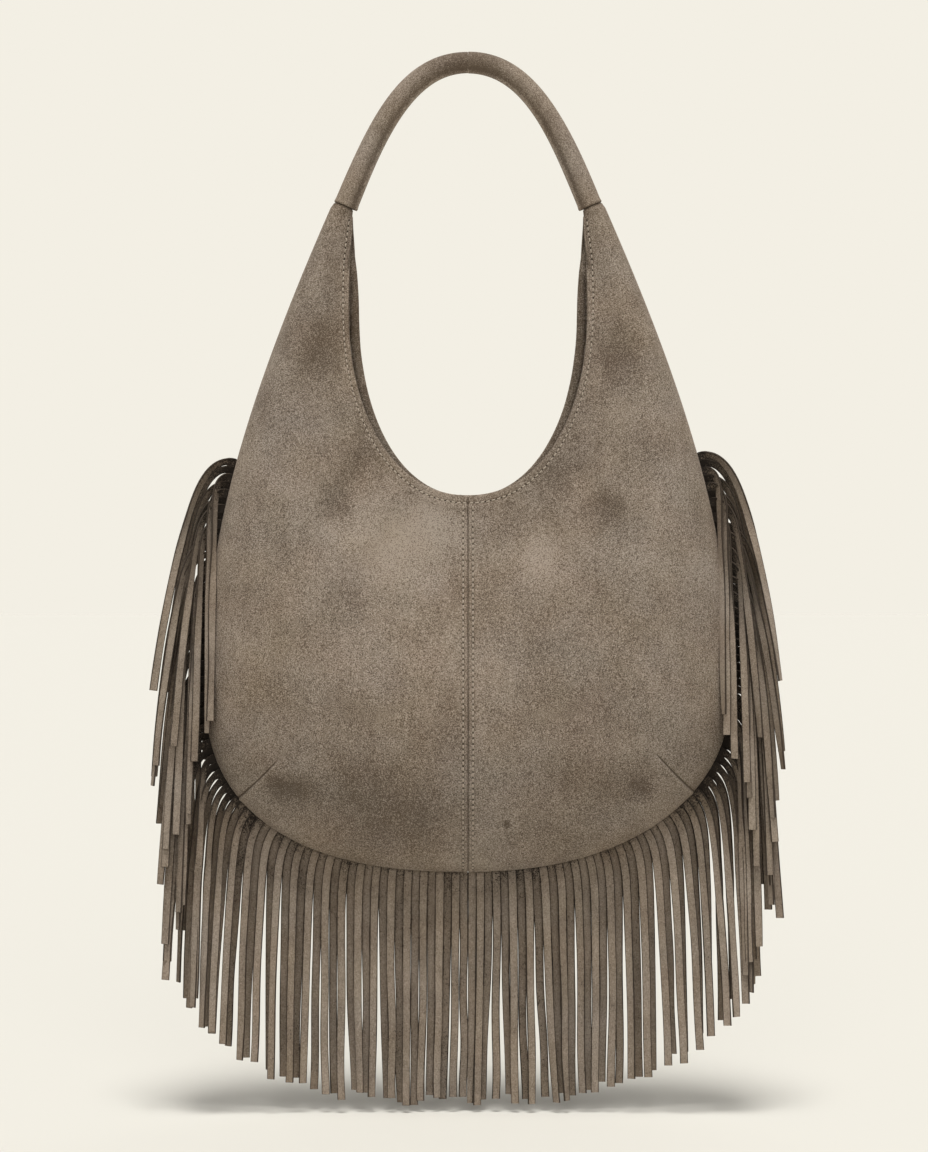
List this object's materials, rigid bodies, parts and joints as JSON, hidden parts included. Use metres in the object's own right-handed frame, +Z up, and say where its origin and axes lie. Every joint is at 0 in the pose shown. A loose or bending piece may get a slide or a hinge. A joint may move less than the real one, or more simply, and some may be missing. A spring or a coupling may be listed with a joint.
{
  "type": "fringed suede bag",
  "caption": "Soft hobo shoulder bag in taupe suede with a curved tube handle, a deep scooped neckline and long cut fringe along its side seams.",
  "frame": {"origin": "the point on the underside of the handle's crown that rests on a shoulder or a hook", "axes": "+X across the front to the viewer's right, +Y out of the back, +Z up along the hang line"},
  "size_m": [0.4507, 0.079, 0.738],
  "materials": {
    "taupe_suede": "napped suede, matte",
    "fringe_suede": "napped suede with cut edges, matte",
    "lining": "plain cloth, matte",
    "rope": "twisted cotton, matte"
  },
  "bodies": {
    "root": {"front_panel_left": "taupe_suede", "front_panel_right": "taupe_suede", "back_panel_left": "taupe_suede", "back_panel_right": "taupe_suede", "lining_front": "lining", "lining_back": "lining", "handle_cover_left": "taupe_suede", "handle_cover_right": "taupe_suede", "handle_core": "rope", "fringe_left": "fringe_suede", "fringe_right": "fringe_suede"}
  },
  "joints": []
}
